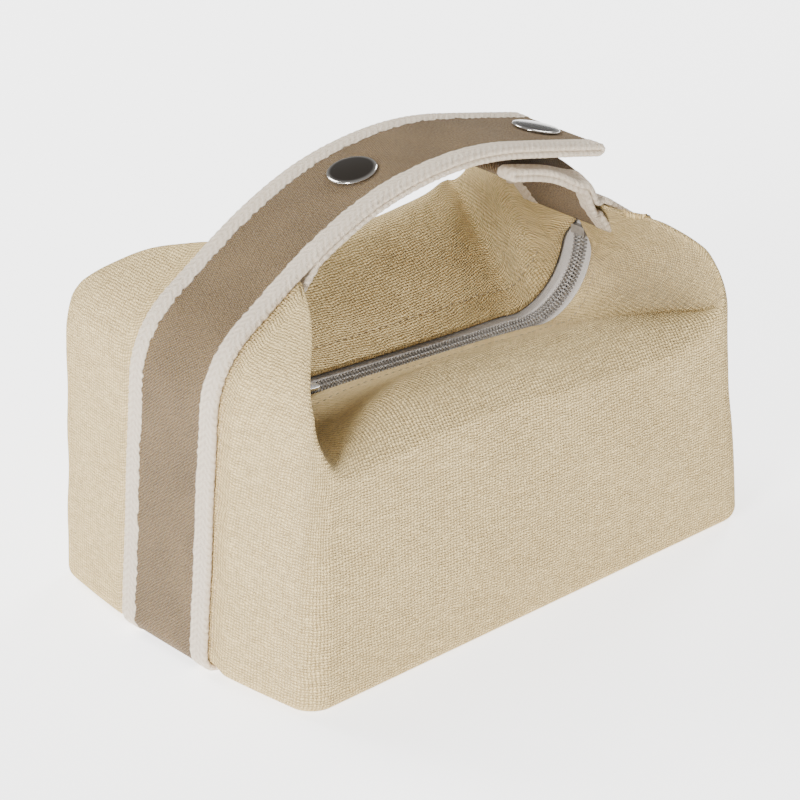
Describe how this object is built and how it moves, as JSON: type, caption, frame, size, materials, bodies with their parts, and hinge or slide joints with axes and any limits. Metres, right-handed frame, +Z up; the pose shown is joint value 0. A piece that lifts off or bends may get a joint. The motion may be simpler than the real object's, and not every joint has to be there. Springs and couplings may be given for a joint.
{
  "type": "canvas zip bag with snap-closed webbing handle",
  "caption": "Small boxy canvas bag with a zip across its sunken top and a wide webbing handle that arches over it and closes with a press stud.",
  "frame": {"origin": "centre of the base, on the surface that the bag stands on", "axes": "+X along the bag, away from the end where the long handle strap rises; -Y is the front long wall; +Z up"},
  "size_m": [0.2, 0.121, 0.1368],
  "materials": {
    "canvas": "coarse plain weave",
    "lining": "thin plain cloth",
    "board": "matt",
    "webbing": "ribbed middle with off-white knitted borders",
    "tape": "fine herringbone tape",
    "coil": "satin nylon",
    "stops": "satin",
    "zip_metal": "polished",
    "snap_metal": "polished"
  },
  "bodies": {
    "bag": {"front_canvas": "canvas", "back_canvas": "canvas", "base_canvas": "canvas", "front_lining": "lining", "back_lining": "lining", "base_lining": "lining", "base_board": "board", "sling_strap": "webbing", "left_strap_facing": "webbing", "right_strap_facing": "webbing", "front_zip_tape": "tape", "back_zip_tape": "tape", "front_zip_coil": "coil", "back_zip_coil": "coil", "zip_top_stops": "stops", "zip_bottom_stop": "stops"},
    "handle": {"long_strap": "webbing", "near_cap": "snap_metal", "near_stud": "snap_metal", "far_cap": "snap_metal", "far_socket": "snap_metal"},
    "tab": {"short_strap": "webbing", "short_stud": "snap_metal", "stud_back": "snap_metal"},
    "slider": {"slider_body": "zip_metal"},
    "pull": {"puller": "zip_metal"}
  },
  "joints": [
    {"name": "handle_lift", "type": "hinge", "parent": "bag", "child": "handle", "pos_m": [-0.05874, 0, 0.11901], "axis": [0, -1, 0], "range_deg": [0, 100]},
    {"name": "tab_drop", "type": "hinge", "parent": "bag", "child": "tab", "pos_m": [0.06362, 0, 0.10431], "axis": [0, -1, 0], "range_deg": [0, 30]},
    {"name": "zip_slide", "type": "slide", "parent": "bag", "child": "slider", "axis": [0.9981, 0, -0.0624], "range_m": [0, 0.088]},
    {"name": "puller_swing", "type": "hinge", "parent": "slider", "child": "pull", "pos_m": [-0.04522, 0, 0.07224], "axis": [0, 1, 0], "range_deg": [0, 124]}
  ]
}
